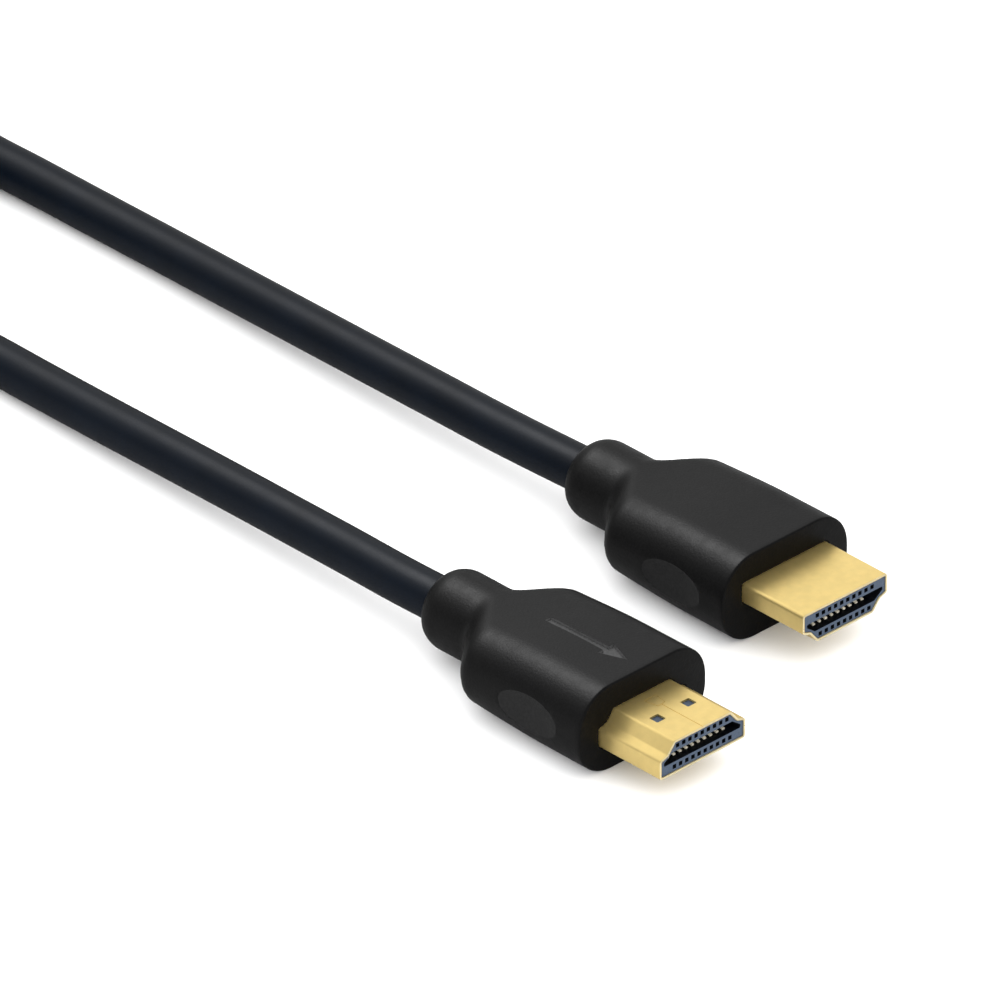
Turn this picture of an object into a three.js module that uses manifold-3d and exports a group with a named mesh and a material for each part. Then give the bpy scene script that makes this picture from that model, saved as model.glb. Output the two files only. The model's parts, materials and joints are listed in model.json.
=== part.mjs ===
// A digital video cable with a plug at each end, lying on a level surface.
// Both plugs point along +X, side by side, and the far one lies turned over.
// Behind them the lead is folded into an oval hank, in line with them.
// Millimetres, +Z up, with the origin on the surface, below the middle of the two plugs.
import * as THREE from "three";
import { mergeVertices } from "three/addons/utils/BufferGeometryUtils.js";
import Module from "manifold-3d";

const wasm = await Module();
wasm.setup();

// Clearances
const fitGap = 0.05; // between pieces that are pressed or moulded into each other
const cordGap = 0.3; // between the lead and what it meets
const cutThrough = 1; // how far a cutting tool passes an open face
const floorGap = 0.05; // under the lead and its hank

// Metal shell: a tube with a wide side, upright walls, a ledge and a slope above each, and a narrow side
const shellWidth = 13.9;
const shellHeight = 4.45;
const shellNarrowWidth = 9.16;
const shellWallHeight = 2.6;
const shellLedgeWidth = 1.2;
const shellLedgeRise = 0.42;
const shellThickness = 0.28;
const shellCornerRadius = 0.5;
const shellReach = 10; // bare length in front of the moulding
const shellSeat = 4; // length held inside the moulding

// Latch windows in the narrow side of the shell
const windowLength = 1.4;
const windowWidth = 1.4;
const windowSpacing = 5;
const windowForward = 5; // from the moulding's face to the middle of the windows

// Insulator with its tongue slot, wider towards the shell's wide side
const insulatorSetback = 0.15; // its face lies this far inside the shell's rim
const slotWidth = 12.4;
const slotNarrowWidth = 9.8;
const slotHeight = 1.4;
const slotWallHeight = 0.45;
const slotRise = 0.05; // from the shell's mid height towards the narrow side
const slotDepth = 8;
const slotCornerRadius = 0.2;

// Terminal holes and contacts, in one row on each side of the slot
const pitch = 1;
const wideRowCount = 10;
const narrowRowCount = 9;
const terminalSize = 0.56;
const bridgeThickness = 0.36; // insulator between the slot and a terminal hole
const frontWall = 1; // behind it each terminal channel is open to the slot
const contactWidth = 0.42;
const contactThickness = 0.2;
const contactCrown = 0.32; // how far a contact bows into the slot
const contactTipRise = 0.05; // its tip, above the slot's face
const crownSetback = 1.1; // from the tip to the crown
const springSetback = 2.3; // from the tip to where the contact leaves the slot
const heelSetback = 4; // from the tip to where it lies on the channel's floor

// Moulding: a rounded body, a shoulder and a round neck that the lead leaves
const bodyWidth = 20.7;
const bodyRearWidth = 20.4;
const bodyHeight = 11.5;
const bodyLength = 19.2;
const bodyCornerRadius = 5.2;
const flatLength = 8; // behind it the height falls gently to the neck's
const faceEdgeBreak = 0.25;
const shoulderLength = 5.9;
const neckDiameter = 10.2;
const neckLength = 7.9; // with its rounded end
const neckEndRounding = 2.7;
const neckExitDiameter = 6.4;

// Thumb dent on each side of the body
const dentLength = 9.6;
const dentHeight = 6.4;
const dentDepth = 0.7;
const dentRoundness = 4; // lateral half size of the ball that shapes it
const dentTilt = THREE.MathUtils.degToRad(3); // deeper towards the front
const dentSetback = 9.4; // from the face to its middle

// Recessed arrow on the moulding's narrow side, pointing to the tip
const arrowLength = 13;
const arrowHeadLength = 3.4;
const arrowHeadWidth = 2.6;
const arrowShaftWidth = 0.9;
const arrowDepth = 0.3;
const arrowSetback = 9.2; // from the face to its middle

// Lead and its hank: turns side by side, in layers, with a straight run between round ends
const cordDiameter = 5.7;
const cordSides = 10;
const turnPitch = 5.9; // from one turn to the next, across and upwards
const hankFrontX = -157; // middle of the round end that is nearer the plugs
const hankY = -6.3;
const hankRun = 59;
const hankInnerRadius = 17.1; // of the innermost turn's middle line
const hankLanes = 3;
const hankLayers = 2;

// Where the plugs lie
const plugSpacing = 32.25;
const nearPlugLead = 9.05; // how far the near plug's tip lies in front of the far one's
const moulding = bodyLength + shoulderLength + neckLength;
const plugLength = shellReach + moulding;
const nearFaceX = (plugLength + nearPlugLead) / 2 - shellReach;
const farFaceX = nearFaceX - nearPlugLead;
const plugMidHeight = bodyHeight / 2;

// How finely round forms are divided
const cornerSteps = 7;
const bodySteps = 4;
const shoulderSteps = 7;
const endSteps = 4;
const hankEndSteps = 24;

// Materials
function finish(color, roughness, metalness) {
  return new THREE.MeshStandardMaterial({ color, roughness, metalness, flatShading: true });
}
const rubberFinish = finish(0x2b2b2c, 0.6, 0);
const cordFinish = finish(0x161d2b, 0.4, 0);
const goldFinish = finish(0xe3c878, 0.28, 1);
const insulatorFinish = finish(0x5b6b80, 0.5, 0);
const contactFinish = finish(0xf0dca0, 0.25, 1);

// Solids: joining and cutting closed meshes
function toSolid(geometry) {
  const bare = geometry.clone();
  bare.deleteAttribute("normal");
  bare.deleteAttribute("uv");
  const merged = mergeVertices(bare);
  return new wasm.Manifold(
    new wasm.Mesh({
      numProp: 3,
      vertProperties: merged.attributes.position.array,
      triVerts: new Uint32Array(merged.index.array),
    }),
  );
}

function toGeometry(solid) {
  const mesh = solid.getMesh();
  const geometry = new THREE.BufferGeometry();
  geometry.setAttribute("position", new THREE.BufferAttribute(mesh.vertProperties, 3));
  geometry.setIndex(new THREE.BufferAttribute(mesh.triVerts, 1));
  geometry.computeVertexNormals();
  return geometry;
}

function cut(geometry, tools) {
  let solid = toSolid(geometry);
  for (const tool of tools) {
    solid = solid.subtract(toSolid(tool));
  }
  return toGeometry(solid);
}

// Outlines, seen from the front: x to the plug's left, y towards its narrow side
function plugCorners() {
  const half = shellWidth / 2;
  const narrowHalf = shellNarrowWidth / 2;
  const top = shellHeight / 2;
  const wallTop = shellWallHeight - top;
  const ledgeHalf = half - shellLedgeWidth;
  const ledgeTop = wallTop + shellLedgeRise;
  return [
    new THREE.Vector2(-half, -top),
    new THREE.Vector2(half, -top),
    new THREE.Vector2(half, wallTop),
    new THREE.Vector2(ledgeHalf, ledgeTop),
    new THREE.Vector2(narrowHalf, top),
    new THREE.Vector2(-narrowHalf, top),
    new THREE.Vector2(-ledgeHalf, ledgeTop),
    new THREE.Vector2(-half, wallTop),
  ];
}

function slotCorners() {
  const half = slotWidth / 2;
  const narrowHalf = slotNarrowWidth / 2;
  const bottom = slotRise - slotHeight / 2;
  const top = slotRise + slotHeight / 2;
  return [
    new THREE.Vector2(-half, bottom),
    new THREE.Vector2(half, bottom),
    new THREE.Vector2(half, bottom + slotWallHeight),
    new THREE.Vector2(narrowHalf, top),
    new THREE.Vector2(-narrowHalf, top),
    new THREE.Vector2(-half, bottom + slotWallHeight),
  ];
}

// The same corners with every side moved inwards, or outwards where distance is negative
function inset(corners, distance) {
  const count = corners.length;
  return corners.map((corner, i) => {
    const back = corner.clone().sub(corners[(i + count - 1) % count]).normalize();
    const on = corners[(i + 1) % count].clone().sub(corner).normalize();
    const turn = back.x * on.y - back.y * on.x;
    return corner.clone().addScaledVector(on.sub(back), distance / turn);
  });
}

function roundedShape(corners, radius) {
  const shape = new THREE.Shape();
  const count = corners.length;
  corners.forEach((corner, i) => {
    const toBack = corners[(i + count - 1) % count].clone().sub(corner);
    const toOn = corners[(i + 1) % count].clone().sub(corner);
    const halfAngle = toBack.angleTo(toOn) / 2;
    const wanted = radius / Math.tan(halfAngle);
    const reach = Math.min(wanted, toBack.length() * 0.45, toOn.length() * 0.45);
    const start = corner.clone().add(toBack.setLength(reach));
    const end = corner.clone().add(toOn.setLength(reach));
    if (i === 0) {
      shape.moveTo(start.x, start.y);
    } else {
      shape.lineTo(start.x, start.y);
    }
    shape.quadraticCurveTo(corner.x, corner.y, end.x, end.y);
  });
  shape.closePath();
  return shape;
}

// Extrudes an outline along X
const outlineToPlug = new THREE.Matrix4().makeBasis(
  new THREE.Vector3(0, 1, 0),
  new THREE.Vector3(0, 0, 1),
  new THREE.Vector3(1, 0, 0),
);

function prism(shape, backX, frontX) {
  const geometry = new THREE.ExtrudeGeometry(shape, {
    depth: frontX - backX,
    bevelEnabled: false,
    curveSegments: 3,
  });
  return geometry.applyMatrix4(outlineToPlug).translate(backX, 0, 0);
}

function box(sizeX, sizeY, sizeZ, x, y, z) {
  return new THREE.BoxGeometry(sizeX, sizeY, sizeZ).translate(x, y, z);
}

// Moulding, with its face at x = 0 and its neck behind it
function ring(x, halfWidth, halfHeight, cornerRadius) {
  const radius = Math.min(cornerRadius, halfWidth * 0.97, halfHeight * 0.97);
  const points = [];
  for (let quarter = 0; quarter < 4; quarter += 1) {
    const right = quarter === 0 || quarter === 3 ? 1 : -1;
    const up = quarter < 2 ? 1 : -1;
    for (let step = 0; step <= cornerSteps; step += 1) {
      const angle = (quarter + step / cornerSteps) * (Math.PI / 2);
      const y = right * (halfWidth - radius) + radius * Math.cos(angle);
      const z = up * (halfHeight - radius) + radius * Math.sin(angle);
      points.push(new THREE.Vector3(x, y, z));
    }
  }
  return points;
}

function bodyFall(back) {
  const share = THREE.MathUtils.smoothstep(back, flatLength, bodyLength + shoulderLength);
  return ((bodyHeight - neckDiameter) / 2) * share;
}

function bodyRing(back) {
  const narrowing = THREE.MathUtils.smoothstep(back, bodyLength, bodyLength + shoulderLength);
  const taper = Math.min(back / bodyLength, 1);
  const halfBody = THREE.MathUtils.lerp(bodyWidth, bodyRearWidth, taper) / 2;
  return ring(
    -back,
    THREE.MathUtils.lerp(halfBody, neckDiameter / 2, narrowing),
    bodyHeight / 2 - bodyFall(back),
    bodyCornerRadius,
  );
}

function mouldingRings() {
  const rings = [
    ring(0, bodyWidth / 2 - faceEdgeBreak, bodyHeight / 2 - faceEdgeBreak, bodyCornerRadius),
    bodyRing(faceEdgeBreak),
  ];
  for (let step = 0; step < bodySteps; step += 1) {
    rings.push(bodyRing(THREE.MathUtils.lerp(flatLength, bodyLength, step / bodySteps)));
  }
  for (let step = 0; step <= shoulderSteps; step += 1) {
    rings.push(bodyRing(bodyLength + (shoulderLength * step) / shoulderSteps));
  }
  for (let step = 0; step <= endSteps; step += 1) {
    const angle = (step / endSteps) * (Math.PI / 2);
    const diameter = THREE.MathUtils.lerp(neckExitDiameter, neckDiameter, Math.cos(angle));
    const x = -moulding + neckEndRounding * (1 - Math.sin(angle));
    rings.push(ring(x, diameter / 2, diameter / 2, diameter / 2));
  }
  return rings;
}

// A closed skin over the rings, which run from front to back
function loft(rings) {
  const sides = rings[0].length;
  const positions = rings.flat().flatMap((point) => point.toArray());
  const index = [];
  for (let row = 0; row + 1 < rings.length; row += 1) {
    for (let side = 0; side < sides; side += 1) {
      const next = (side + 1) % sides;
      const a = row * sides + side;
      const b = row * sides + next;
      const c = (row + 1) * sides + side;
      const d = (row + 1) * sides + next;
      index.push(a, c, b, b, c, d);
    }
  }
  const last = (rings.length - 1) * sides;
  for (let side = 1; side + 1 < sides; side += 1) {
    index.push(0, side, side + 1);
    index.push(last, last + side + 1, last + side);
  }
  const geometry = new THREE.BufferGeometry();
  geometry.setAttribute("position", new THREE.Float32BufferAttribute(positions, 3));
  geometry.setIndex(index);
  return geometry;
}

function dentTool(side) {
  const shrink = Math.sqrt(1 - ((dentRoundness - dentDepth) / dentRoundness) ** 2);
  const sideAtDent = THREE.MathUtils.lerp(bodyWidth, bodyRearWidth, dentSetback / bodyLength) / 2;
  return new THREE.SphereGeometry(1, 24, 16)
    .scale(dentLength / 2 / shrink, dentRoundness, dentHeight / 2 / shrink)
    .rotateZ(-side * dentTilt)
    .translate(-dentSetback, side * (sideAtDent - dentDepth + dentRoundness), 0);
}

function arrowTool() {
  const tip = arrowLength / 2;
  const neck = tip - arrowHeadLength;
  const half = arrowShaftWidth / 2;
  const headHalf = arrowHeadWidth / 2;
  const shape = new THREE.Shape([
    new THREE.Vector2(-tip, -half),
    new THREE.Vector2(neck, -half),
    new THREE.Vector2(neck, -headHalf),
    new THREE.Vector2(tip, 0),
    new THREE.Vector2(neck, headHalf),
    new THREE.Vector2(neck, half),
    new THREE.Vector2(-tip, half),
  ]);
  const tipFall = bodyFall(arrowSetback - tip);
  const tailFall = bodyFall(arrowSetback + tip);
  const floorZ = bodyHeight / 2 - arrowDepth - (tipFall + tailFall) / 2;
  return new THREE.ExtrudeGeometry(shape, { depth: arrowDepth + cutThrough, bevelEnabled: false })
    .rotateY(-Math.atan((tailFall - tipFall) / arrowLength))
    .translate(-arrowSetback, 0, floorZ);
}

function mouldingGeometry() {
  const pocket = roundedShape(inset(plugCorners(), -fitGap), shellCornerRadius);
  return cut(loft(mouldingRings()), [
    prism(pocket, -shellSeat - fitGap, cutThrough),
    dentTool(1),
    dentTool(-1),
    arrowTool(),
  ]);
}

// Shell
function shellGeometry() {
  const outline = roundedShape(plugCorners(), shellCornerRadius);
  const innerRadius = shellCornerRadius - shellThickness;
  outline.holes.push(roundedShape(inset(plugCorners(), shellThickness), innerRadius));
  const tube = prism(outline, -shellSeat, shellReach);
  const wallZ = (shellHeight - shellThickness) / 2;
  const windows = [-1, 1].map((side) =>
    box(
      windowLength,
      windowWidth,
      shellThickness * 2,
      windowForward,
      (side * windowSpacing) / 2,
      wallZ,
    ),
  );
  return cut(tube, windows);
}

// Terminals: for each, its place across the plug and which side of the slot it is on
const insulatorFront = shellReach - insulatorSetback;

function terminals() {
  const rows = [
    { count: wideRowCount, side: -1 },
    { count: narrowRowCount, side: 1 },
  ];
  return rows.flatMap(({ count, side }) =>
    Array.from({ length: count }, (_, i) => ({ y: (i - (count - 1) / 2) * pitch, side })),
  );
}

function terminalTools({ y, side }) {
  const slotFace = slotRise + (side * slotHeight) / 2;
  const holeZ = slotFace + side * (bridgeThickness + terminalSize / 2);
  const holeLength = slotDepth + cutThrough;
  const holeX = insulatorFront + cutThrough - holeLength / 2;
  const overlap = slotHeight / 4;
  const channelHeight = bridgeThickness + terminalSize + overlap;
  const channelZ = slotFace + side * (channelHeight / 2 - overlap);
  const channelLength = slotDepth - frontWall;
  const channelX = insulatorFront - frontWall - channelLength / 2;
  return [
    box(holeLength, terminalSize, terminalSize, holeX, y, holeZ),
    box(channelLength, terminalSize, channelHeight, channelX, y, channelZ),
  ];
}

function insulatorGeometry() {
  const corners = inset(plugCorners(), shellThickness + fitGap);
  const innerRadius = shellCornerRadius - shellThickness;
  const block = prism(roundedShape(corners, innerRadius), -shellSeat, insulatorFront);
  const slot = prism(
    roundedShape(slotCorners(), slotCornerRadius),
    insulatorFront - slotDepth,
    insulatorFront + cutThrough,
  );
  return cut(block, [slot, ...terminals().flatMap(terminalTools)]);
}

// A contact: a bowed strip in its channel, with its tip just behind the front wall
function contactGeometry({ y, side }) {
  const slotFace = slotRise + (side * slotHeight) / 2;
  const tipX = insulatorFront - frontWall - fitGap;
  const rearX = insulatorFront - slotDepth + fitGap;
  const rest = bridgeThickness + terminalSize - fitGap - contactThickness / 2;
  const line = [
    [tipX, -contactTipRise],
    [tipX - crownSetback, -contactCrown],
    [tipX - springSetback, 0],
    [tipX - heelSetback, rest],
    [rearX, rest],
  ];
  const half = contactThickness / 2;
  const near = line.map(([x, depth]) => new THREE.Vector2(x, slotFace + side * (depth - half)));
  const away = line.map(([x, depth]) => new THREE.Vector2(x, slotFace + side * (depth + half)));
  const shape = new THREE.Shape([...near, ...away.reverse()]);
  return new THREE.ExtrudeGeometry(shape, { depth: contactWidth, bevelEnabled: false })
    .rotateX(Math.PI / 2)
    .translate(0, y + contactWidth / 2, 0);
}

// Each plug is one group: its own frame has the moulding's face at x = 0, mid height at z = 0
function piece(name, geometry, material) {
  const mesh = new THREE.Mesh(geometry, material);
  mesh.name = name;
  return mesh;
}

function plug(prefix, faceX, y, turn) {
  const group = new THREE.Group();
  group.position.set(faceX, y, plugMidHeight);
  group.rotation.x = turn;
  group.add(piece(`${prefix}_plug_moulding`, mouldingGeometry(), rubberFinish));
  group.add(piece(`${prefix}_plug_shell`, shellGeometry(), goldFinish));
  group.add(piece(`${prefix}_plug_insulator`, insulatorGeometry(), insulatorFinish));
  terminals().forEach((terminal, i) => {
    const name = `${prefix}_plug_contact_${String(i + 1).padStart(2, "0")}`;
    group.add(piece(name, contactGeometry(terminal), contactFinish));
  });
  return group;
}

// Lead: each stretch is a tube from a plug's neck to the hank
const cordRadius = cordDiameter / 2;
const cordRest = cordRadius + floorGap;
const nearNeckX = nearFaceX - moulding;
const farNeckX = farFaceX - moulding;
const nearRoute = [
  [nearNeckX - cordGap, -plugSpacing / 2, plugMidHeight],
  [-24, -16.05, 5.56],
  [-34, -15.5, 5.16],
  [-44, -15.05, 4.76],
  [-54, -14.6, 4.36],
  [-66, -14.15, 3.9],
  [-78, -13.7, 3.42],
  [-89, -13.28, 3.05],
  [-99, -13.05, cordRest],
  [-105, -13.71, 3.29],
  [-111, -15.5, 4.29],
  [-117, -18.13, 5.62],
  [-123, -21.29, 6.99],
  [-127, -23.55, 7.79],
];
const farRoute = [
  [farNeckX - cordGap, plugSpacing / 2, plugMidHeight],
  [-40, 16.2, 5.28],
  [-52, 16.7, 4.8],
  [-64, 17.2, 4.32],
  [-76, 17.7, 3.87],
  [-88, 18.2, 3.42],
  [-100, 18.65, 3.05],
  [-112, 18.78, cordRest],
  [-124, 18.78, cordRest],
  [-133.9, 18.79, cordRest],
];

function cordGeometry(route) {
  const path = new THREE.CatmullRomCurve3(route.map((point) => new THREE.Vector3(...point)));
  const section = new THREE.Shape();
  section.absarc(0, 0, cordRadius, 0, Math.PI * 2);
  return new THREE.ExtrudeGeometry(section, {
    steps: Math.round(path.getLength() / (cordDiameter * 1.2)),
    curveSegments: cordSides,
    extrudePath: path,
  });
}

// Hank: all its turns as one closed oval
function drawOval(path, radius) {
  path.absarc(hankFrontX, hankY, radius, -Math.PI / 2, Math.PI / 2);
  path.absarc(hankFrontX - hankRun, hankY, radius, Math.PI / 2, Math.PI * 1.5);
  path.closePath();
  return path;
}

function hankGeometry() {
  const outerRadius = hankInnerRadius + (hankLanes - 1) * turnPitch + cordRadius;
  const oval = drawOval(new THREE.Shape(), outerRadius);
  oval.holes.push(drawOval(new THREE.Path(), hankInnerRadius - cordRadius));
  return new THREE.ExtrudeGeometry(oval, {
    depth: (hankLayers - 1) * turnPitch + cordDiameter,
    bevelEnabled: false,
    curveSegments: hankEndSteps,
  }).translate(0, 0, floorGap);
}

const cable = new THREE.Group();
cable.name = "video_cable";
cable.add(plug("near", nearFaceX, -plugSpacing / 2, 0));
cable.add(plug("far", farFaceX, plugSpacing / 2, Math.PI));
cable.add(piece("near_cord", cordGeometry(nearRoute), cordFinish));
cable.add(piece("far_cord", cordGeometry(farRoute), cordFinish));
cable.add(piece("cord_hank", hankGeometry(), cordFinish));

export default cable;
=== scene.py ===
"""The looks of a digital video cable: two plugs with gold-plated shells, and the lead between them."""

import json
import math

import bmesh
import bpy
from mathutils import Matrix, Vector

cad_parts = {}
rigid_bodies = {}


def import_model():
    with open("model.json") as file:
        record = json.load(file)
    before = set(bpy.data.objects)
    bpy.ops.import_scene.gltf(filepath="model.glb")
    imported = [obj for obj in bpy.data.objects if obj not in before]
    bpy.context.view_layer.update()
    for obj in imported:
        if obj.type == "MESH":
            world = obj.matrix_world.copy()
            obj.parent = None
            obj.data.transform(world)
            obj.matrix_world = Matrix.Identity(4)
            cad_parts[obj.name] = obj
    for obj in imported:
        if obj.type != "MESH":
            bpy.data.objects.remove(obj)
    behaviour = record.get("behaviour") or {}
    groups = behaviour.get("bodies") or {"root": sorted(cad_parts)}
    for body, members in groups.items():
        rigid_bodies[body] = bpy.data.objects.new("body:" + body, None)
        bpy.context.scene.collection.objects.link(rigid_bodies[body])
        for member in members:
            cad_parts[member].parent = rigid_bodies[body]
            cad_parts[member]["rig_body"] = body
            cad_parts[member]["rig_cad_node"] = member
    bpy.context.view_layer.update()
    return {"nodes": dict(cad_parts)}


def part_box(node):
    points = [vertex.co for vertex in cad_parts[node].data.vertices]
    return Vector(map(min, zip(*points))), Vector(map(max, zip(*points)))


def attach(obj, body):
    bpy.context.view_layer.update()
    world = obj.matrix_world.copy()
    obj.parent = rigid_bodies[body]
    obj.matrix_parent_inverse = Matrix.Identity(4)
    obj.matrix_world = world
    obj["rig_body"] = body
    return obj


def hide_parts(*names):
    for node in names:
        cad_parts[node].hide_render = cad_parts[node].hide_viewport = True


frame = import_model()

# Lengths are in millimetres unless a comment says metres, and this turns them into metres
MM = 0.001

# The camera looks at a point between the two plugs and just behind them, at the photograph's angle
TARGET = Vector((-28.86, 4.45, 5.75))
CAMERA_DISTANCE = 3000
CAMERA_AZIMUTH = math.radians(45.81)
CAMERA_ELEVATION = math.radians(31.57)
VIEW_WIDTH = 117.5  # how much of the target's plane the picture takes in
SENSOR_WIDTH = 36
CLIP_START = 0.05  # metres, as the next is
CLIP_END = 60

# Lead
CORD_DIAMETER = 5.7
CORD_REST = 2.9  # height of the lead's middle where it lies on the surface

# Hank: ten straight runs with a half turn between each two
TURN_PITCH = 5.9  # from one turn to the next, across and upwards
RUN_LANES = (2, 2, 1, 1, 0, 0, 0, 1, 1, 2)  # from the far stretch to the near one, 0 innermost
CLIMBING_RUN = 5  # the runs before it are the lower layer, and those after it the upper one
HANK_LAYERS = 2

# Strap that ties the hank
TIE_WIDTH = 9
TIE_THICKNESS = 0.35
TIE_EDGE = 0.15  # how far in from each edge the strap starts to thin
TIE_EDGE_SHARE = 0.7  # how much of its thickness is left at the edge
TIE_GAP = 0.03  # between the strap and the lead

# Moulding: body, shoulder and neck, behind the face
BODY_LENGTH = 19.2
BODY_REAR_WIDTH = 20.4
BODY_CORNER = 5.2
FLAT_LENGTH = 8
SHOULDER_LENGTH = 5.9
NECK_DIAMETER = 10.2
NECK_END_ROUNDING = 2.7
NECK_EXIT_DIAMETER = 6.4
FACE_EDGE = 0.25

# Thumb dents, cut with an ellipsoid
DENT_LENGTH = 9.6
DENT_HEIGHT = 6.4
DENT_DEPTH = 0.7
DENT_ROUNDNESS = 4  # the ellipsoid's half thickness
DENT_TILT = math.radians(3)
DENT_SETBACK = 9.4  # from the face to the dent's middle

# Recessed arrow
ARROW_LENGTH = 13
ARROW_HEAD_LENGTH = 3.4
ARROW_HEAD_WIDTH = 2.6
ARROW_SHAFT_WIDTH = 0.9
ARROW_DEPTH = 0.3
ARROW_SETBACK = 9.2  # from the face to the arrow's middle
ARROW_DRAFT = 0.12  # how far its walls lean out from floor to rim
ARROW_WALLS = ((0.9, -0.5), (0.6, 0), (0, 0.5))  # heights and insets, as shares of depth and draft

# Shell
SHELL_NARROW_WIDTH = 9.16
SHELL_WALL_HEIGHT = 2.6
SHELL_LEDGE_WIDTH = 1.2
SHELL_LEDGE_RISE = 0.42
SHELL_THICKNESS = 0.28
SHELL_CORNER = 0.5
SHELL_SEAT = 4  # how deep it sits in the moulding
RIM_ROUNDING = 0.11
RIM_HIGHLIGHT_SHARE = 0.8  # how much of the rim's rounding has the painted highlight, a paler gold
POCKET_GAP = 0.05
POCKET_CHAMFER = 0.15

# Latch windows and the lock seam in the shell's narrow side
WINDOW_SIZE = 1.4
WINDOW_CORNER = 0.18
WINDOW_SPACING = 5
WINDOW_FORWARD = 5  # from the moulding's face to the windows' middle
WINDOW_CUT = 1.5  # depth of the cut, as a share of the sheet's thickness
SEAM_WIDTH = 0.09
SEAM_DEPTH = 0.06
SEAM_LOCK_FRONT = 3.1  # the dovetail that locks the sheet's two edges, ahead of the moulding's face
SEAM_LOCK_REAR = 1.2
SEAM_LOCK_HALF_WIDTH = 0.6
SEAM_LOCK_FLARE = 0.35

# Insulator and contacts
INSULATOR_EDGE = 0.05
CONTACT_EDGE = 0.04
EDGE_ANGLE = math.radians(40)  # edges sharper than this are broken
WELD_DISTANCE = 1e-7  # metres
BLOCK_SKIN = 0.08  # faces further than this from the block's front, top and underside are inside it, and get painted shade

# Studio: levels of light, where 1 is white in the picture
FLOOR_WHITE = 0.95
FLOOR_IN_REFLECTIONS = 0.38
TENT_LIGHT = 2.1
TENT_IN_REFLECTIONS = 0.32
BACKDROP = 1.2
FLOOR_SIZE = 16  # metres
PIECES_IN_KEY = ("near_moulding_body", "far_moulding_body", "video_lead", "lead_tie")

# How the noise's range is spread over colours and over roughness
COLOR_NOISE = (0.35, 0.65)
ROUGHNESS_NOISE = (0.3, 0.7)

# How finely the round forms are divided
CORNER_STEPS = 14
FLAT_STEPS = 6
STATION_SPACING = 0.6
END_STEPS = 10
FACE_STEPS = 4
OUTLINE_STEPS = 8
WINDOW_CORNER_STEPS = 4
DENT_STEPS_AROUND = 96
DENT_STEPS_ALONG = 64
EDGE_STEPS = 2
HANK_RUN_STEPS = 4
HANK_END_STEPS = 12
CORD_STEPS_AROUND = 12
CORD_STEPS_ALONG = 6
SMOOTH_ANGLE = math.radians(32)

# Limits for the shapes and their cutting tools
CORNER_SHARE = 0.45  # the most that a rounded corner takes of each side next to it
ROUND_SHARE = 0.999  # the most that a ring's corners take of its half width and half height
TOOL_REACH = 1  # how far a cutting tool stands out of what it cuts


def box_of(node):
    """A CAD node's lowest and highest corner, in millimetres."""
    low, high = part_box(node)
    return low / MM, high / MM


near_low, near_high = box_of("near_plug_moulding")
far_low, far_high = box_of("far_plug_moulding")
shell_low, shell_high = box_of("near_plug_shell")
body_width = near_high.y - near_low.y
body_height = near_high.z - near_low.z
moulding_length = near_high.x - near_low.x
shell_width = shell_high.y - shell_low.y
shell_height = shell_high.z - shell_low.z
shell_reach = shell_high.x - near_high.x
mid_height = (near_low.z + near_high.z) / 2
near_y = (near_low.y + near_high.y) / 2
far_y = (far_low.y + far_high.y) / 2


def lerp(start, end, share):
    return start + (end - start) * share


def smoothstep(value, low, high):
    share = min(max((value - low) / (high - low), 0), 1)
    return share * share * (3 - 2 * share)


# Camera
def make_camera():
    right = Vector((math.cos(CAMERA_AZIMUTH), math.sin(CAMERA_AZIMUTH), 0))
    back = Vector(
        (
            math.sin(CAMERA_AZIMUTH) * math.cos(CAMERA_ELEVATION),
            -math.cos(CAMERA_AZIMUTH) * math.cos(CAMERA_ELEVATION),
            math.sin(CAMERA_ELEVATION),
        )
    )
    place = (TARGET + back * CAMERA_DISTANCE) * MM
    data = bpy.data.cameras.new("camera")
    data.sensor_width = SENSOR_WIDTH
    data.lens = SENSOR_WIDTH * CAMERA_DISTANCE / VIEW_WIDTH
    data.clip_start = CLIP_START
    data.clip_end = CLIP_END
    camera = bpy.data.objects.new("camera", data)
    turn = Matrix((right, back.cross(right), back)).transposed().to_4x4()
    camera.matrix_world = Matrix.Translation(place) @ turn
    bpy.context.scene.collection.objects.link(camera)
    bpy.context.scene.camera = camera


# Materials
def new_material(name, color, roughness, metallic=0.0, specular=0.5):
    material = bpy.data.materials.new(name)
    material.use_nodes = True
    shader = material.node_tree.nodes["Principled BSDF"]
    shader.inputs["Base Color"].default_value = (*color, 1)
    shader.inputs["Roughness"].default_value = roughness
    shader.inputs["Metallic"].default_value = metallic
    shader.inputs["Specular IOR Level"].default_value = specular
    return material, shader


def add_noise(material, size, detail=3.0, stretch=(1, 1, 1)):
    """Noise with grains of this size in millimetres, fixed to the object."""
    nodes, links = material.node_tree.nodes, material.node_tree.links
    place = nodes.new("ShaderNodeTexCoord")
    mapping = nodes.new("ShaderNodeMapping")
    mapping.inputs["Scale"].default_value = stretch
    noise = nodes.new("ShaderNodeTexNoise")
    noise.inputs["Scale"].default_value = 1 / (size * MM)
    noise.inputs["Detail"].default_value = detail
    links.new(place.outputs["Object"], mapping.inputs["Vector"])
    links.new(mapping.outputs["Vector"], noise.inputs["Vector"])
    return noise.outputs["Fac"]


def scaled(color, share):
    return tuple(channel * share for channel in color)


def vary_color(material, shader, noise, color, darkest, lightest):
    """Lets the noise scale the colour, from the darkest share of it to the lightest."""
    nodes, links = material.node_tree.nodes, material.node_tree.links
    ramp = nodes.new("ShaderNodeValToRGB")
    for element, position, share in zip(ramp.color_ramp.elements, COLOR_NOISE, (darkest, lightest)):
        element.position = position
        element.color = (*scaled(color, share), 1)
    links.new(noise, ramp.inputs["Fac"])
    links.new(ramp.outputs["Color"], shader.inputs["Base Color"])


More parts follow.
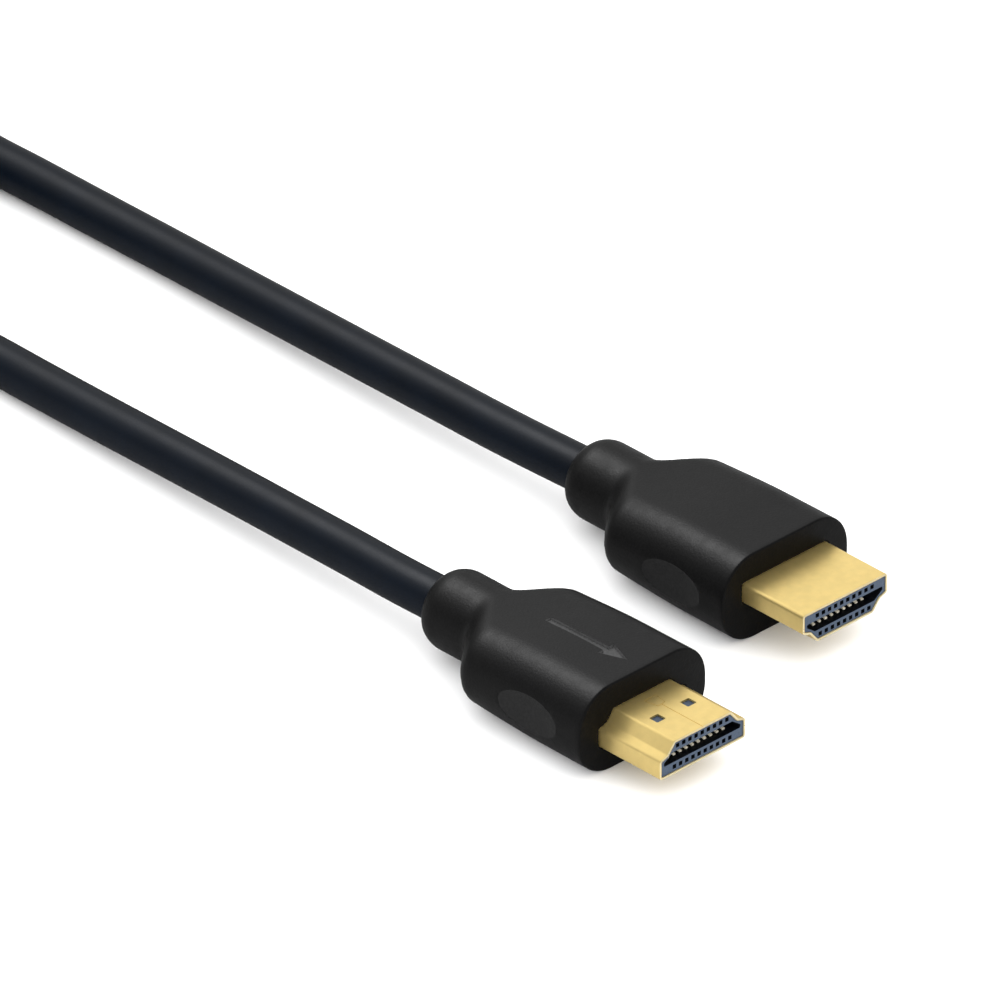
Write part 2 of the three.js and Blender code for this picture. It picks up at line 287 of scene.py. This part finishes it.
def vary_roughness(material, shader, noise, roughness, below, above):
    """Lets the noise move the roughness, by this much each way."""
    nodes, links = material.node_tree.nodes, material.node_tree.links
    spread = nodes.new("ShaderNodeMapRange")
    spread.inputs["From Min"].default_value = ROUGHNESS_NOISE[0]
    spread.inputs["From Max"].default_value = ROUGHNESS_NOISE[1]
    spread.inputs["To Min"].default_value = roughness - below
    spread.inputs["To Max"].default_value = roughness + above
    links.new(noise, spread.inputs["Value"])
    links.new(spread.outputs["Result"], shader.inputs["Roughness"])


def add_bump(material, shader, noise, height):
    """Relief of this height in millimetres."""
    nodes, links = material.node_tree.nodes, material.node_tree.links
    bump = nodes.new("ShaderNodeBump")
    bump.inputs["Strength"].default_value = 1
    bump.inputs["Distance"].default_value = height * MM
    links.new(noise, bump.inputs["Height"])
    links.new(bump.outputs["Normal"], shader.inputs["Normal"])


def make_plastic_material(name, color, roughness, specular):
    material, shader = new_material(name, color, roughness, specular=specular)
    grain = add_noise(material, size=0.3)
    vary_color(material, shader, grain, color, darkest=0.85, lightest=1.15)
    patches = add_noise(material, size=1.5)
    vary_roughness(material, shader, patches, roughness, below=0.04, above=0.04)
    add_bump(material, shader, grain, height=0.025)
    return material


def make_jacket_material(name, color, roughness, specular):
    material, shader = new_material(name, color, roughness, specular=specular)
    drift = add_noise(material, size=6)
    vary_color(material, shader, drift, color, darkest=0.9, lightest=1.1)
    patches = add_noise(material, size=2.2)
    vary_roughness(material, shader, patches, roughness, below=0.01, above=0.05)
    grain = add_noise(material, size=0.5)
    add_bump(material, shader, grain, height=0.006)
    return material


def make_gold_material(name, color, roughness, metallic):
    material, shader = new_material(name, color, roughness, metallic=metallic)
    mottle = add_noise(material, size=1.1, detail=4)
    vary_color(material, shader, mottle, color, darkest=0.94, lightest=1)
    patches = add_noise(material, size=0.5)
    vary_roughness(material, shader, patches, roughness, below=0.03, above=0.04)
    rolling_marks = add_noise(material, size=0.25, stretch=(0.2, 1, 1))
    add_bump(material, shader, rolling_marks, height=0.0015)
    return material


def make_insulator_material(name, color, roughness, specular):
    material, shader = new_material(name, color, roughness, specular=specular)
    grain = add_noise(material, size=0.12)
    vary_color(material, shader, grain, color, darkest=0.85, lightest=1.15)
    add_bump(material, shader, grain, height=0.004)
    return material


moulding_material = make_plastic_material(
    "moulding_black", color=(0.0028, 0.0028, 0.0029), roughness=0.45, specular=0.12
)
# The dents: a lighter grey than the moulding, partly their own finish and partly painted light where
# they turn towards the light
dent_finish_and_painted_light_material = make_plastic_material(
    "dent_grey_finish_and_painted_light", color=(0.011, 0.011, 0.0112), roughness=0.55, specular=0.13
)
arrow_material = make_plastic_material(
    "arrow_grey", color=(0.045, 0.045, 0.0455), roughness=0.55, specular=0.13
)
cord_material = make_jacket_material(
    "cord_jacket", color=(0.0014, 0.0036, 0.0078), roughness=0.4, specular=0.1
)
shell_material = make_gold_material(
    "gold_plate", color=(0.94, 0.715, 0.275), roughness=0.38, metallic=0.88
)
# Painted highlight: a paler, less metallic gold for the front of the shell's rim
painted_highlight_rim_material = make_gold_material(
    "gold_rim_painted_highlight", color=(0.94, 0.81, 0.5), roughness=0.3, metallic=0.7
)
contact_material = make_gold_material(
    "gold_contact", color=(0.95, 0.89, 0.72), roughness=0.25, metallic=0.45
)
insulator_material = make_insulator_material(
    "slate_insulator", color=(0.046, 0.066, 0.1), roughness=0.45, specular=0.3
)
# Painted shade: a near-black copy of the slate for the faces inside the insulator's slot and holes
painted_shade_material = make_insulator_material(
    "slate_painted_shade", color=(0.0022, 0.003, 0.0045), roughness=0.45, specular=0.1
)
tie_material = make_plastic_material(
    "tie_black", color=(0.004, 0.004, 0.0042), roughness=0.7, specular=0.12
)


# Meshes
def new_piece(name, vertices, faces, *materials):
    mesh = bpy.data.meshes.new(name)
    mesh.from_pydata(vertices, [], faces)
    mesh.update()
    for material in materials:
        mesh.materials.append(material)
    piece = bpy.data.objects.new(name, mesh)
    bpy.context.scene.collection.objects.link(piece)
    return piece


def loft(name, rings, *materials, closed=False):
    """A skin over rings of points. Its ends are capped, or the last ring is joined to the first."""
    sides = len(rings[0])
    vertices = [point for ring_points in rings for point in ring_points]
    faces = []
    rows = len(rings) if closed else len(rings) - 1
    for row in range(rows):
        for side in range(sides):
            next_row = (row + 1) % len(rings)
            next_side = (side + 1) % sides
            faces.append(
                (
                    row * sides + side,
                    next_row * sides + side,
                    next_row * sides + next_side,
                    row * sides + next_side,
                )
            )
    if not closed:
        last = (len(rings) - 1) * sides
        faces.append(tuple(range(sides)))
        faces.append(tuple(last + side for side in reversed(range(sides))))
    return new_piece(name, vertices, faces, *materials)


def settle(piece):
    """Applies the piece's modifiers to its mesh."""
    bpy.context.view_layer.update()
    evaluated = piece.evaluated_get(bpy.context.evaluated_depsgraph_get())
    mesh = bpy.data.meshes.new_from_object(evaluated)
    piece.modifiers.clear()
    piece.data = mesh
    mesh.name = piece.name


def carve(piece, tool):
    """Cuts the tool out of the piece, and removes the tool. The cut takes the tool's material."""
    cut = piece.modifiers.new("cut", "BOOLEAN")
    cut.operation = "DIFFERENCE"
    cut.solver = "EXACT"
    cut.material_mode = "TRANSFER"
    cut.object = tool
    settle(piece)
    bpy.data.objects.remove(tool)


def smooth(piece):
    piece.data.shade_smooth()
    piece.data.set_sharp_from_angle(angle=SMOOTH_ANGLE)


def dress(piece, place, slot, *nodes):
    """Puts a finished piece where its CAD nodes are, and lets it stand for them."""
    piece.data.transform(place)
    smooth(piece)
    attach(piece, "root")
    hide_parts(*nodes)


# Outlines across a plug: their x is its y, and their y is its z, which grows towards its narrow side
def inset(corners, distance):
    """The same corners with every side moved inwards, or outwards where distance is negative."""
    moved = []
    for i, corner in enumerate(corners):
        back = (corner - corners[i - 1]).normalized()
        on = (corners[(i + 1) % len(corners)] - corner).normalized()
        turn = back.x * on.y - back.y * on.x
        moved.append(corner + (on - back) * (distance / turn))
    return moved


def rounded(corners, radius, steps=OUTLINE_STEPS):
    points = []
    for i, corner in enumerate(corners):
        to_back = corners[i - 1] - corner
        to_on = corners[(i + 1) % len(corners)] - corner
        wanted = radius / math.tan(to_back.angle(to_on) / 2)
        reach = min(wanted, to_back.length * CORNER_SHARE, to_on.length * CORNER_SHARE)
        start = corner + to_back.normalized() * reach
        end = corner + to_on.normalized() * reach
        for step in range(steps + 1):
            share = step / steps
            points.append(start.lerp(corner, share).lerp(corner.lerp(end, share), share))
    return points


def shell_corners():
    half = shell_width / 2
    narrow_half = SHELL_NARROW_WIDTH / 2
    top = shell_height / 2
    ledge_half = half - SHELL_LEDGE_WIDTH
    wall_top = SHELL_WALL_HEIGHT - top
    ledge_top = wall_top + SHELL_LEDGE_RISE
    return [
        Vector((-half, -top)),
        Vector((half, -top)),
        Vector((half, wall_top)),
        Vector((ledge_half, ledge_top)),
        Vector((narrow_half, top)),
        Vector((-narrow_half, top)),
        Vector((-ledge_half, ledge_top)),
        Vector((-half, wall_top)),
    ]


def at(x, outline):
    """An outline's points in the plug's frame, at this x."""
    return [(x, point.x, point.y) for point in outline]


# Moulding, in its plug's frame: its face at x = 0, mid height at z = 0
def ring(x, half_width, half_height, corner):
    """A rounded rectangle across the plug, with extra points along its straight sides."""
    radius = min(corner, half_width * ROUND_SHARE, half_height * ROUND_SHARE)
    points = []
    for quarter in range(4):
        right = 1 if quarter in (0, 3) else -1
        up = 1 if quarter < 2 else -1
        for step in range(CORNER_STEPS + 1):
            angle = (quarter + step / CORNER_STEPS) * math.pi / 2
            y = right * (half_width - radius) + radius * math.cos(angle)
            z = up * (half_height - radius) + radius * math.sin(angle)
            points.append(Vector((x, y, z)))
    filled = []
    for i, point in enumerate(points):
        filled.append(point)
        if i % (CORNER_STEPS + 1) == CORNER_STEPS:
            following = points[(i + 1) % len(points)]
            filled += [point.lerp(following, step / FLAT_STEPS) for step in range(1, FLAT_STEPS)]
    return filled


def body_fall(back):
    """How far the body's top and underside have come in, this far behind the face."""
    share = smoothstep(back, FLAT_LENGTH, BODY_LENGTH + SHOULDER_LENGTH)
    return (body_height - NECK_DIAMETER) / 2 * share


def body_ring(back, edge=0.0):
    half_body = lerp(body_width, BODY_REAR_WIDTH, min(back / BODY_LENGTH, 1)) / 2
    narrowing = smoothstep(back, BODY_LENGTH, BODY_LENGTH + SHOULDER_LENGTH)
    half_width = lerp(half_body, NECK_DIAMETER / 2, narrowing)
    half_height = body_height / 2 - body_fall(back)
    return ring(-back, half_width - edge, half_height - edge, BODY_CORNER)


def moulding_rings():
    """From the face's rounded edge back to where the lead comes out of the neck."""
    rings = []
    for step in range(FACE_STEPS + 1):
        angle = step / FACE_STEPS * math.pi / 2
        back = FACE_EDGE * (1 - math.cos(angle))
        rings.append(body_ring(back, FACE_EDGE * (1 - math.sin(angle))))
    neck_start = moulding_length - NECK_END_ROUNDING
    stations = round((neck_start - FACE_EDGE) / STATION_SPACING)
    for station in range(1, stations + 1):
        rings.append(body_ring(lerp(FACE_EDGE, neck_start, station / stations)))
    for step in range(1, END_STEPS + 1):
        angle = step / END_STEPS * math.pi / 2
        radius = lerp(NECK_EXIT_DIAMETER, NECK_DIAMETER, math.cos(angle)) / 2
        back = neck_start + NECK_END_ROUNDING * math.sin(angle)
        rings.append(ring(-back, radius, radius, radius))
    return rings


def pocket_tool():
    corners = inset(shell_corners(), -POCKET_GAP)
    wide = inset(corners, -POCKET_CHAMFER)
    rings = [
        at(TOOL_REACH, rounded(wide, SHELL_CORNER)),
        at(0, rounded(wide, SHELL_CORNER)),
        at(-POCKET_CHAMFER, rounded(corners, SHELL_CORNER)),
        at(-SHELL_SEAT - POCKET_GAP, rounded(corners, SHELL_CORNER)),
    ]
    return loft("pocket_tool", rings, moulding_material)


def dent_tool(side):
    shrink = math.sqrt(1 - ((DENT_ROUNDNESS - DENT_DEPTH) / DENT_ROUNDNESS) ** 2)
    side_at_dent = lerp(body_width, BODY_REAR_WIDTH, DENT_SETBACK / BODY_LENGTH) / 2
    sizes = Vector((DENT_LENGTH / 2 / shrink, DENT_ROUNDNESS, DENT_HEIGHT / 2 / shrink))
    centre = Vector((-DENT_SETBACK, side * (side_at_dent - DENT_DEPTH + DENT_ROUNDNESS), 0))
    work = bmesh.new()
    bmesh.ops.create_uvsphere(
        work, u_segments=DENT_STEPS_AROUND, v_segments=DENT_STEPS_ALONG, radius=1
    )
    work.transform(
        Matrix.Translation(centre)
        @ Matrix.Rotation(-side * DENT_TILT, 4, "Z")
        @ Matrix.Diagonal((*sizes, 1))
    )
    mesh = bpy.data.meshes.new("dent_tool")
    work.to_mesh(mesh)
    work.free()
    # The dent's faces take the lighter grey: partly finish, partly painted light
    mesh.materials.append(dent_finish_and_painted_light_material)
    tool = bpy.data.objects.new("dent_tool", mesh)
    bpy.context.scene.collection.objects.link(tool)
    return tool


def arrow_outline():
    tip = ARROW_LENGTH / 2
    neck = tip - ARROW_HEAD_LENGTH
    half = ARROW_SHAFT_WIDTH / 2
    head_half = ARROW_HEAD_WIDTH / 2
    return [
        Vector((-tip, -half)),
        Vector((neck, -half)),
        Vector((neck, -head_half)),
        Vector((tip, 0)),
        Vector((neck, head_half)),
        Vector((neck, half)),
        Vector((-tip, half)),
    ]


def arrow_tool():
    levels = [(TOOL_REACH, -ARROW_DRAFT / 2)]
    for height_share, inset_share in ARROW_WALLS:
        levels.append((ARROW_DEPTH * height_share, ARROW_DRAFT * inset_share))
    rings = [
        [(point.x, point.y, height) for point in inset(arrow_outline(), distance)]
        for height, distance in levels
    ]
    tool = loft("arrow_tool", rings, arrow_material)
    tip_fall = body_fall(ARROW_SETBACK - ARROW_LENGTH / 2)
    tail_fall = body_fall(ARROW_SETBACK + ARROW_LENGTH / 2)
    floor_z = body_height / 2 - ARROW_DEPTH - (tip_fall + tail_fall) / 2
    tilt = math.atan((tail_fall - tip_fall) / ARROW_LENGTH)
    tool.data.transform(
        Matrix.Translation((-ARROW_SETBACK, 0, floor_z)) @ Matrix.Rotation(-tilt, 4, "Y")
    )
    return tool


def make_moulding(prefix, place):
    piece = loft(f"{prefix}_moulding_body", moulding_rings(), moulding_material)
    carve(piece, pocket_tool())
    carve(piece, dent_tool(1))
    carve(piece, dent_tool(-1))
    carve(piece, arrow_tool())
    dress(piece, place, "moulding", f"{prefix}_plug_moulding")


# Shell, in the same frame
def wall_profile():
    """Places along the plug, with how far inside the outline the sheet's surface lies there."""
    outer = [(-SHELL_SEAT, 0), (0, 0), (shell_reach - RIM_ROUNDING, 0)]
    turned = []
    for step in range(1, FACE_STEPS + 1):
        angle = step / FACE_STEPS * math.pi / 2
        depth = RIM_ROUNDING * (1 - math.cos(angle))
        turned.append((shell_reach - RIM_ROUNDING * (1 - math.sin(angle)), depth))
    inner = [(x, SHELL_THICKNESS - depth) for x, depth in reversed(turned + outer)]
    return outer + turned + inner


def shell_rings():
    rings = []
    for x, depth in wall_profile():
        radius = SHELL_CORNER - depth
        rings.append(at(x, rounded(inset(shell_corners(), depth), radius)))
    return rings[::-1]


def window_tool(side):
    half = WINDOW_SIZE / 2
    corners = [Vector(corner) * half for corner in ((-1, -1), (1, -1), (1, 1), (-1, 1))]
    outline = rounded(corners, WINDOW_CORNER, WINDOW_CORNER_STEPS)
    middle = Vector((WINDOW_FORWARD, side * WINDOW_SPACING / 2))
    top = shell_height / 2
    rings = [
        [(middle.x + point.x, middle.y + point.y, z) for point in outline]
        for z in (top + TOOL_REACH, top - SHELL_THICKNESS * WINDOW_CUT)
    ]
    return loft("window_tool", rings, shell_material)


def seam_tool(start, end):
    """A narrow groove between two places on the narrow side."""
    along = (end - start).normalized() * (SEAM_WIDTH / 2)
    across = Vector((-along.y, along.x))
    rear = start - along
    front = end + along
    corners = [rear - across, front - across, front + across, rear + across]
    top = shell_height / 2
    rings = [
        [(point.x, point.y, z) for point in corners]
        for z in (top + TOOL_REACH, top - SEAM_DEPTH)
    ]
    return loft("seam_tool", rings, shell_material)


def carve_seam(piece):
    """The sheet's two edges meet in a line that runs back from the rim to a dovetail."""
    rear = SEAM_LOCK_HALF_WIDTH + SEAM_LOCK_FLARE
    path = [
        Vector((SEAM_LOCK_FRONT, -SEAM_LOCK_HALF_WIDTH)),
        Vector((SEAM_LOCK_REAR, -rear)),
        Vector((SEAM_LOCK_REAR, rear)),
        Vector((SEAM_LOCK_FRONT, SEAM_LOCK_HALF_WIDTH)),
        Vector((SEAM_LOCK_FRONT, -SEAM_LOCK_HALF_WIDTH)),
    ]
    for start, end in zip(path, path[1:]):
        carve(piece, seam_tool(start, end))
    past_rim = Vector((shell_reach + TOOL_REACH, 0))
    carve(piece, seam_tool(Vector((SEAM_LOCK_FRONT, 0)), past_rim))


def paint_rim_highlight(piece):
    # The front of the rim's rounding gets the painted highlight
    piece.data.materials.append(painted_highlight_rim_material)
    for face in piece.data.polygons:
        if face.center.x > shell_reach - RIM_ROUNDING * RIM_HIGHLIGHT_SHARE:
            face.material_index = 1


def make_shell(prefix, place):
    piece = loft(f"{prefix}_shell_sheet", shell_rings(), shell_material, closed=True)
    paint_rim_highlight(piece)
    carve(piece, window_tool(1))
    carve(piece, window_tool(-1))
    carve_seam(piece)
    dress(piece, place, "shell", f"{prefix}_plug_shell")


# Insulator and contacts: the CAD solids with their edges broken
def make_bevelled(node, name, material, slot, width):
    piece = frame["nodes"][node].copy()
    piece.data = frame["nodes"][node].data.copy()
    piece.name = piece.data.name = name
    piece.parent = None
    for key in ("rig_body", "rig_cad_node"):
        del piece[key]
    piece.data.materials.clear()
    piece.data.materials.append(material)
    bpy.context.scene.collection.objects.link(piece)
    work = bmesh.new()
    work.from_mesh(piece.data)
    bmesh.ops.remove_doubles(work, verts=work.verts, dist=WELD_DISTANCE)
    work.to_mesh(piece.data)
    work.free()
    bevel = piece.modifiers.new("edges", "BEVEL")
    bevel.width = width * MM
    bevel.segments = EDGE_STEPS
    bevel.limit_method = "ANGLE"
    bevel.angle_limit = EDGE_ANGLE
    settle(piece)
    dress(piece, Matrix.Identity(4), slot, node)
    return piece


def paint_shade_inside(piece, node):
    """Gives painted shade to the faces inside the block's slot and holes: a near-black copy of the
    slate.
    """
    low, high = box_of(node)
    half_height = (high.z - low.z) / 2 - BLOCK_SKIN
    piece.data.materials.append(painted_shade_material)
    for face in piece.data.polygons:
        height = face.center.z / MM - mid_height
        if face.center.x / MM < high.x - BLOCK_SKIN and abs(height) < half_height:
            face.material_index = 1


def make_insulator(prefix):
    node = f"{prefix}_plug_insulator"
    name = f"{prefix}_insulator_block"
    piece = make_bevelled(node, name, insulator_material, "insulator", INSULATOR_EDGE)
    # The slot and holes get painted shade
    paint_shade_inside(piece, node)


def make_contacts(prefix):
    for node in sorted(frame["nodes"]):
        if node.startswith(f"{prefix}_plug_contact"):
            name = node.replace("plug_contact", "contact_spring")
            make_bevelled(node, name, contact_material, "contact", CONTACT_EDGE)


def make_plug(prefix, face_x, y, turn):
    """One plug with its moulding's face at this x, turned about its length."""
    place = (
        Matrix.Scale(MM, 4)
        @ Matrix.Translation((face_x, y, mid_height))
        @ Matrix.Rotation(turn, 4, "X")
    )
    make_moulding(prefix, place)
    make_shell(prefix, place)
    make_insulator(prefix)
    make_contacts(prefix)


# Lead: the near stretch, the hank and the far stretch are one curve.
# The points of the two stretches are given, from the necks to the hank.
near_neck_x = near_low.x
far_neck_x = far_low.x
near_route = [
    (near_neck_x, near_y, mid_height),
    (-24, -16.05, 5.56),
    (-34, -15.5, 5.16),
    (-44, -15.05, 4.76),
    (-54, -14.6, 4.36),
    (-66, -14.15, 3.9),
    (-78, -13.7, 3.42),
    (-89, -13.28, 3.05),
    (-99, -13.05, CORD_REST),
    (-105, -13.71, 3.29),
    (-111, -15.5, 4.29),
    (-117, -18.13, 5.62),
    (-123, -21.29, 6.99),
    (-127, -23.55, 7.79),
    (-132, -26.4, 8.52),
    (-138, -29.63, 8.95),
    (-144, -32.36, 9.1),
    (-150, -34.31, 9.15),
]
far_route = [
    (far_neck_x, far_y, mid_height),
    (-40, 16.2, 5.28),
    (-52, 16.7, 4.8),
    (-64, 17.2, 4.32),
    (-76, 17.7, 3.87),
    (-88, 18.2, 3.42),
    (-100, 18.65, 3.05),
    (-112, 18.78, CORD_REST),
    (-124, 18.78, CORD_REST),
    (-133.9, 18.79, CORD_REST),
    (-139, 19.38, 2.98),
    (-145, 20.69, 3.12),
    (-151, 22, 3.22),
]
hank_low, hank_high = box_of("cord_hank")
hank_y = (hank_low.y + hank_high.y) / 2
hank_half_width = (hank_high.y - hank_low.y) / 2
hank_inner_radius = hank_half_width - CORD_DIAMETER / 2 - max(RUN_LANES) * TURN_PITCH
hank_front_x = hank_high.x - hank_half_width
hank_rear_x = hank_low.x + hank_half_width


def hank_point(end_x, angle, lane, layer):
    """A point of a half turn round this end's middle."""
    radius = hank_inner_radius + lane * TURN_PITCH
    return (
        end_x + radius * math.cos(angle),
        hank_y + radius * math.sin(angle),
        CORD_REST + TIE_THICKNESS + layer * TURN_PITCH,
    )


def hank_run(index):
    """One straight run: backwards on the far side, or forwards on the near side."""
    lane = RUN_LANES[index]
    backwards = index % 2 == 0
    angle = math.pi / 2 if backwards else -math.pi / 2
    start_x, end_x = (hank_front_x, hank_rear_x) if backwards else (hank_rear_x, hank_front_x)
    points = []
    for step in range(HANK_RUN_STEPS + 1):
        share = step / HANK_RUN_STEPS
        layer = 0 if index < CLIMBING_RUN else 1
        if index == CLIMBING_RUN:
            layer = smoothstep(share, 0, 1)
        points.append(hank_point(lerp(start_x, end_x, share), angle, lane, layer))
    return points


def hank_end(index):
    """The half turn after this run, which may change lane."""
    end_x = hank_rear_x if index % 2 == 0 else hank_front_x
    start_angle = math.pi / 2 if index % 2 == 0 else -math.pi / 2
    layer = 0 if index < CLIMBING_RUN else 1
    points = []
    for step in range(1, HANK_END_STEPS):
        share = step / HANK_END_STEPS
        lane = lerp(RUN_LANES[index], RUN_LANES[index + 1], smoothstep(share, 0, 1))
        points.append(hank_point(end_x, start_angle + share * math.pi, lane, layer))
    return points


def hank_points():
    """The whole hank, from where the far stretch enters it to where the near one leaves it."""
    points = []
    for index in range(len(RUN_LANES)):
        points += hank_run(index)
        if index + 1 < len(RUN_LANES):
            points += hank_end(index)
    return points


def tie_profile():
    """Places along the strap's width, with how far outside the lead its surface lies there."""
    half = TIE_WIDTH / 2
    outer = [
        (-half, TIE_THICKNESS * TIE_EDGE_SHARE),
        (-half + TIE_EDGE, TIE_THICKNESS),
        (half - TIE_EDGE, TIE_THICKNESS),
        (half, TIE_THICKNESS * TIE_EDGE_SHARE),
    ]
    raised = [(x, thickness - TIE_GAP / 2) for x, thickness in outer]
    return raised + [(half, TIE_GAP), (-half, TIE_GAP)]


def make_tie():
    """A strap round the far side of the hank, at the middle of its runs."""
    lanes_across = max(RUN_LANES) * TURN_PITCH
    layers_up = (HANK_LAYERS - 1) * TURN_PITCH
    middle_x = (hank_front_x + hank_rear_x) / 2
    middle_y = hank_y + hank_inner_radius + lanes_across / 2
    middle_z = TIE_THICKNESS + CORD_REST + layers_up / 2
    half_width = (lanes_across + CORD_DIAMETER) / 2
    half_height = (layers_up + CORD_DIAMETER) / 2
    loops = []
    for x, outset in tie_profile():
        corner = CORD_DIAMETER / 2 + outset
        loop = ring(middle_x + x, half_width + outset, half_height + outset, corner)
        loops.append([(point.x, point.y + middle_y, point.z + middle_z) for point in loop])
    tie = loft("lead_tie", loops[::-1], tie_material, closed=True)
    tie.data.transform(Matrix.Scale(MM, 4))
    smooth(tie)
    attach(tie, "root")
    return tie


def make_cord():
    points = near_route + hank_points()[::-1] + far_route[::-1]
    curve = bpy.data.curves.new("video_lead", "CURVE")
    curve.dimensions = "3D"
    curve.bevel_depth = CORD_DIAMETER / 2 * MM
    curve.bevel_resolution = CORD_STEPS_AROUND
    curve.resolution_u = CORD_STEPS_ALONG
    curve.use_fill_caps = True
    spline = curve.splines.new("BEZIER")
    spline.bezier_points.add(len(points) - 1)
    for knot, point in zip(spline.bezier_points, points):
        knot.co = Vector(point) * MM
        knot.handle_left_type = knot.handle_right_type = "AUTO"
    curve.materials.append(cord_material)
    lead = bpy.data.objects.new("video_lead", curve)
    bpy.context.scene.collection.objects.link(lead)
    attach(lead, "root")
    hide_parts("near_cord", "far_cord", "cord_hank")
    make_tie()


# Floor and light
def make_floor():
    """An overexposed white sweep, which reflections see at a calmer level."""
    material = bpy.data.materials.new("floor_white")
    material.use_nodes = True
    nodes, links = material.node_tree.nodes, material.node_tree.links
    nodes.clear()
    output = nodes.new("ShaderNodeOutputMaterial")
    mix = nodes.new("ShaderNodeMixShader")
    path = nodes.new("ShaderNodeLightPath")
    links.new(path.outputs["Is Glossy Ray"], mix.inputs["Fac"])
    for socket, level in ((1, FLOOR_WHITE), (2, FLOOR_IN_REFLECTIONS)):
        diffuse = nodes.new("ShaderNodeBsdfDiffuse")
        diffuse.inputs["Color"].default_value = (level, level, level, 1)
        links.new(diffuse.outputs["BSDF"], mix.inputs[socket])
    links.new(mix.outputs["Shader"], output.inputs["Surface"])
    half = FLOOR_SIZE / 2
    corners = [(-half, -half, 0), (half, -half, 0), (half, half, 0), (-half, half, 0)]
    new_piece("floor", corners, [(0, 1, 2, 3)], material)


def make_world():
    """A white tent: strong soft light on the floor, a calmer level in gloss, and a white backdrop."""
    world = bpy.data.worlds.new("studio")
    world.use_nodes = True
    nodes, links = world.node_tree.nodes, world.node_tree.links
    nodes.clear()
    output = nodes.new("ShaderNodeOutputWorld")
    path = nodes.new("ShaderNodeLightPath")

    def add_background(level):
        background = nodes.new("ShaderNodeBackground")
        background.inputs["Color"].default_value = (1, 1, 1, 1)
        background.inputs["Strength"].default_value = level
        return background.outputs["Background"]

    shader = add_background(TENT_LIGHT)
    for ray, level in (("Is Glossy Ray", TENT_IN_REFLECTIONS), ("Is Camera Ray", BACKDROP)):
        mix = nodes.new("ShaderNodeMixShader")
        links.new(path.outputs[ray], mix.inputs["Fac"])
        links.new(shader, mix.inputs[1])
        links.new(add_background(level), mix.inputs[2])
        shader = mix.outputs["Shader"]
    links.new(shader, output.inputs["Surface"])
    bpy.context.scene.world = world


def make_softbox(name, direction, distance, size, radiance, on=None):
    """A square panel that shows in gloss alone: a mirror would see its radiance.

    Its distance and size are in metres. It lights only the pieces in on, where that is given.
    """
    light = bpy.data.lights.new(name, "AREA")
    light.shape = "SQUARE"
    light.size = size
    light.energy = radiance * math.pi * size * size
    lamp = bpy.data.objects.new(name, light)
    away = Vector(direction).normalized()
    lamp.location = away * distance
    lamp.rotation_euler = away.to_track_quat("Z", "Y").to_euler()
    lamp.visible_diffuse = False
    if on:
        lit = bpy.data.collections.new(f"{name}_lights")
        for piece in on:
            lit.objects.link(piece)
        lamp.light_linking.receiver_collection = lit
    bpy.context.scene.collection.objects.link(lamp)


def make_softboxes():
    pieces_in_key = [bpy.data.objects[name] for name in PIECES_IN_KEY]
    make_softbox(
        "key", direction=(-0.47, 0, 0.88), distance=0.6, size=0.32, radiance=15, on=pieces_in_key
    )
    make_softbox("top_panel", direction=(-0.61, 0, 0.79), distance=0.6, size=0.5, radiance=0.75)
    make_softbox(
        "back_panel", direction=(-0.611, 0.594, 0.5235), distance=1.0, size=0.9, radiance=0.62
    )
    make_softbox("edge_panel", direction=(-0.611, -0.5, 0.6), distance=1.0, size=0.36, radiance=1.3)


make_camera()
make_cord()
make_plug("near", near_high.x, near_y, turn=0)
make_plug("far", far_high.x, far_y, turn=math.pi)
make_floor()
make_world()
make_softboxes()
bpy.context.scene.view_settings.view_transform = "Standard"
